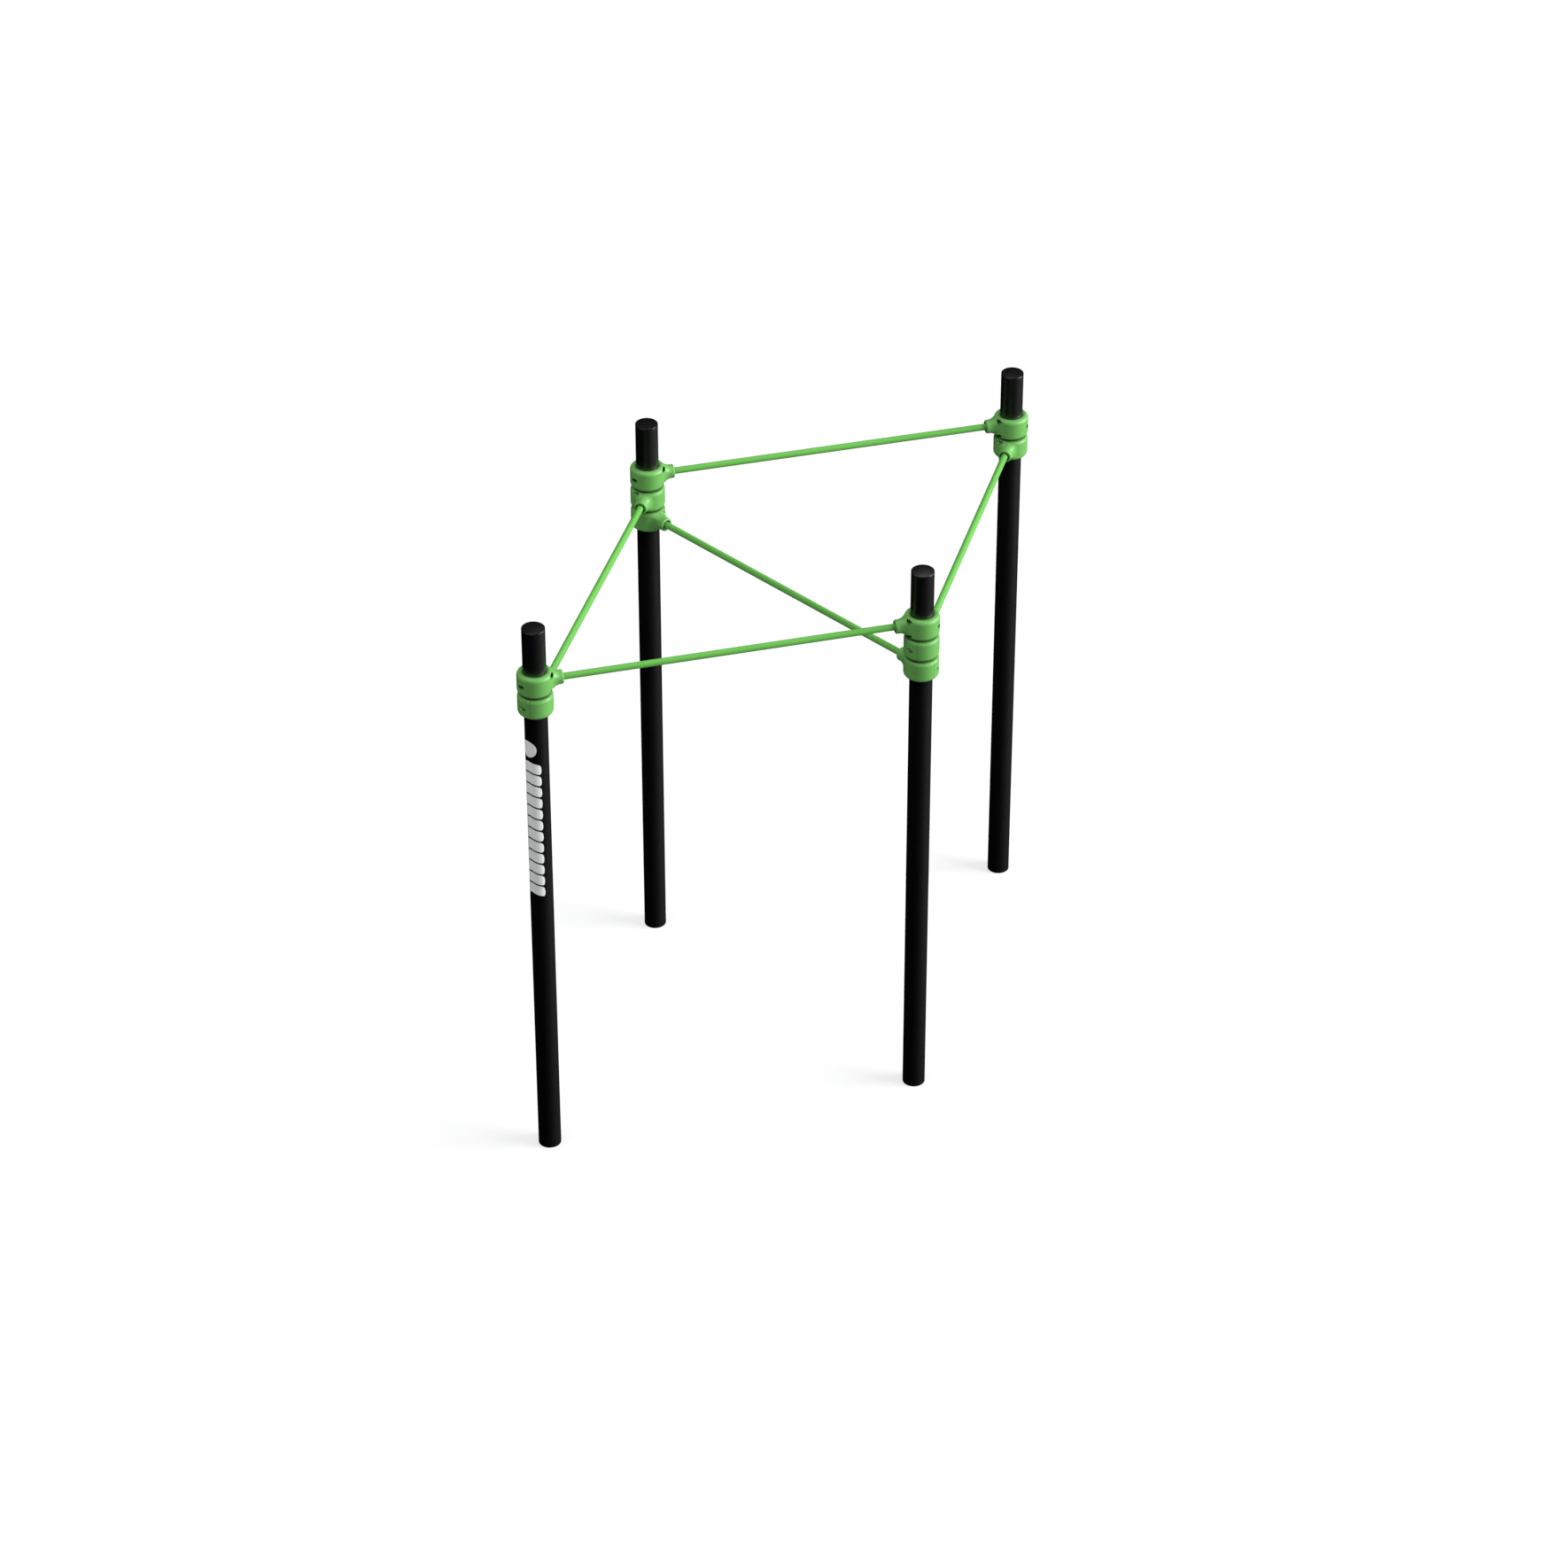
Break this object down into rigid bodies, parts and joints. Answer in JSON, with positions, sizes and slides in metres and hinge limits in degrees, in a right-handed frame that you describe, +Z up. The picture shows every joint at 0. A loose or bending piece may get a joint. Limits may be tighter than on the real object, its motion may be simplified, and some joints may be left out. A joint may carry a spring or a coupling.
{
  "type": "monkey bars",
  "caption": "Free-standing monkey bars on tall round posts, joined by horizontal climbing bars in bolted two-piece clamps to form two triangular bays.",
  "frame": {"origin": "on the ground, in the middle of the four posts", "axes": "+Z up, +X from post A to post D along the long diagonal, +Y from post B to post C"},
  "size_m": [3.4904, 2.089, 3.114],
  "materials": {
    "post_black": "satin black powder coat",
    "bar_green": "satin green powder coat",
    "clamp_green": "satin green powder coat on a casting",
    "cap_plastic": "moulded black plastic",
    "foot_rubber": "black rubber",
    "fastener_steel": "zinc-plated steel",
    "graphic_white": "white vinyl sticker"
  },
  "bodies": {
    "root": {"bar_a_b": "bar_green", "bar_a_c": "bar_green", "bar_b_c": "bar_green", "bar_b_d": "bar_green", "bar_c_d": "bar_green", "clamp_a1_bolts": "fastener_steel", "clamp_a1_shell_drilled": "clamp_green", "clamp_a1_shell_tapped": "clamp_green", "clamp_a2_bolts": "fastener_steel", "clamp_a2_shell_drilled": "clamp_green", "clamp_a2_shell_tapped": "clamp_green", "clamp_b1_bolts": "fastener_steel", "clamp_b1_shell_drilled": "clamp_green", "clamp_b1_shell_tapped": "clamp_green", "clamp_b2_bolts": "fastener_steel", "clamp_b2_shell_drilled": "clamp_green", "clamp_b2_shell_tapped": "clamp_green", "clamp_b3_bolts": "fastener_steel", "clamp_b3_shell_drilled": "clamp_green", "clamp_b3_shell_tapped": "clamp_green", "clamp_c1_bolts": "fastener_steel", "clamp_c1_shell_drilled": "clamp_green", "clamp_c1_shell_tapped": "clamp_green", "clamp_c2_bolts": "fastener_steel", "clamp_c2_shell_drilled": "clamp_green", "clamp_c2_shell_tapped": "clamp_green", "clamp_c3_bolts": "fastener_steel", "clamp_c3_shell_drilled": "clamp_green", "clamp_c3_shell_tapped": "clamp_green", "clamp_d1_bolts": "fastener_steel", "clamp_d1_shell_drilled": "clamp_green", "clamp_d1_shell_tapped": "clamp_green", "clamp_d2_bolts": "fastener_steel", "clamp_d2_shell_drilled": "clamp_green", "clamp_d2_shell_tapped": "clamp_green", "clamp_washers_a": "fastener_steel", "clamp_washers_b": "fastener_steel", "clamp_washers_c": "fastener_steel", "clamp_washers_d": "fastener_steel", "foot_plug_a": "foot_rubber", "foot_plug_b": "foot_rubber", "foot_plug_c": "foot_rubber", "foot_plug_d": "foot_rubber", "graphic_a": "graphic_white", "post_a": "post_black", "post_b": "post_black", "post_c": "post_black", "post_cap_a": "cap_plastic", "post_cap_b": "cap_plastic", "post_cap_c": "cap_plastic", "post_cap_d": "cap_plastic", "post_d": "post_black"}
  },
  "joints": []
}
